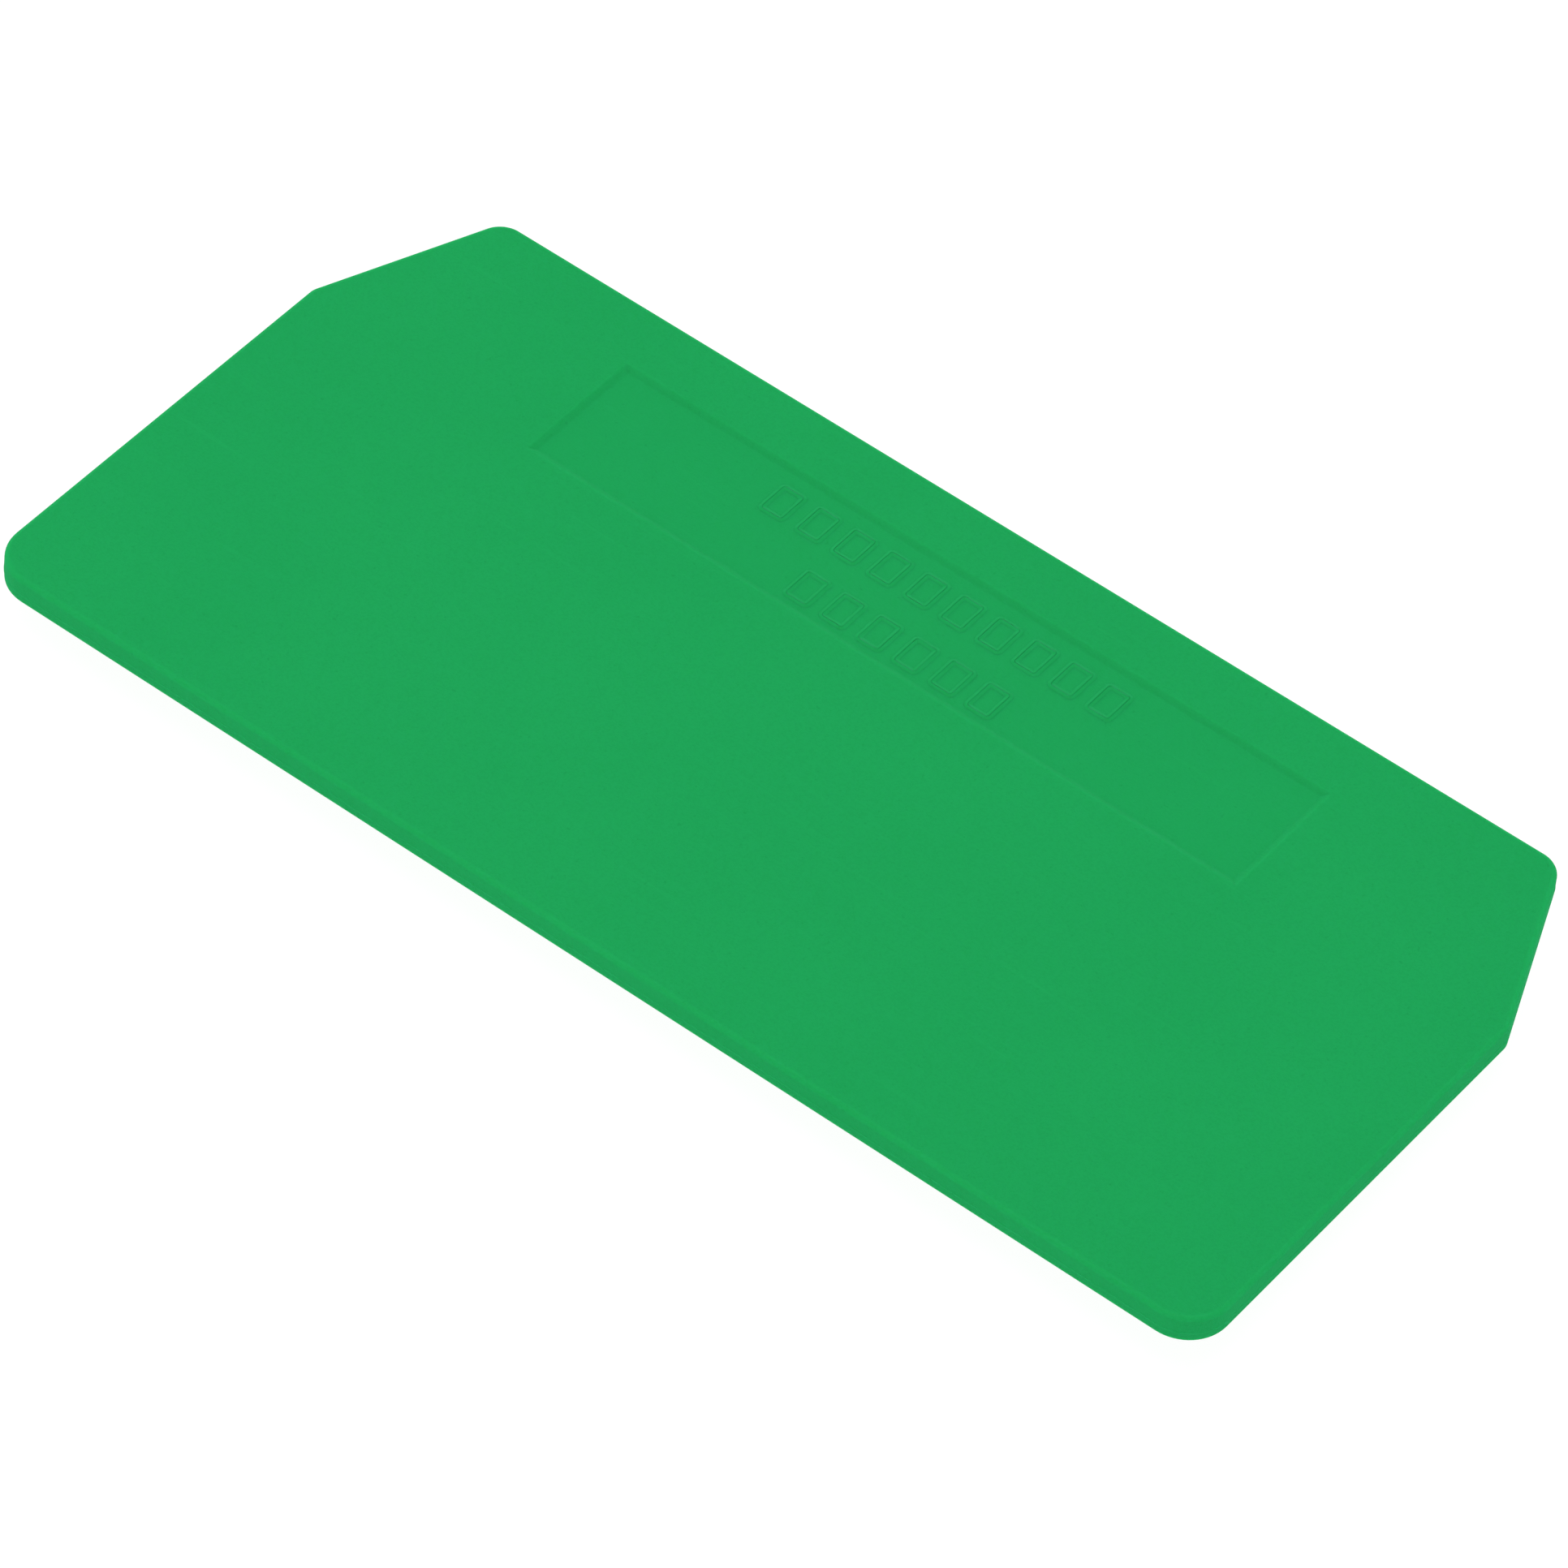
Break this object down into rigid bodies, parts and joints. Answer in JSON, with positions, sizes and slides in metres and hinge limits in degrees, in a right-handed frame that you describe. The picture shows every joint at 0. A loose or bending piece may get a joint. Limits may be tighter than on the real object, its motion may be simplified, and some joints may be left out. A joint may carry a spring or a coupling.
{
  "type": "terminal block end plate",
  "caption": "Thin flat moulded plate with two cut corners and a sunk label panel, that closes the open side of the last block in a row of rail-mounted terminal blocks.",
  "frame": {"origin": "middle of the mating plane, the plane in which the shoulder meets the block that the plate closes", "axes": "+X along the plate's length, across the rail; +Y from the rail side to the wiring side, where the two corners are cut; +Z straight out of the label face, away from the block"},
  "size_m": [0.0644, 0.0306, 0.0038],
  "materials": {
    "moulded_plastic": "satin moulded polyamide in signal green, fine spark-eroded grain"
  },
  "bodies": {
    "root": {"face_plate": "moulded_plastic", "marks_upper_row": "moulded_plastic", "marks_lower_row": "moulded_plastic", "rim_rail_side": "moulded_plastic", "rim_wiring_side": "moulded_plastic", "rim_left_end": "moulded_plastic", "rim_right_end": "moulded_plastic", "rim_left_corner": "moulded_plastic", "rim_right_corner": "moulded_plastic", "rib_spine_left": "moulded_plastic", "rib_spine_middle": "moulded_plastic", "rib_spine_right": "moulded_plastic", "rib_cross_left": "moulded_plastic", "rib_cross_right": "moulded_plastic", "peg_rail_left": "moulded_plastic", "peg_rail_right": "moulded_plastic", "peg_wiring_left": "moulded_plastic", "peg_wiring_right": "moulded_plastic"}
  },
  "joints": []
}
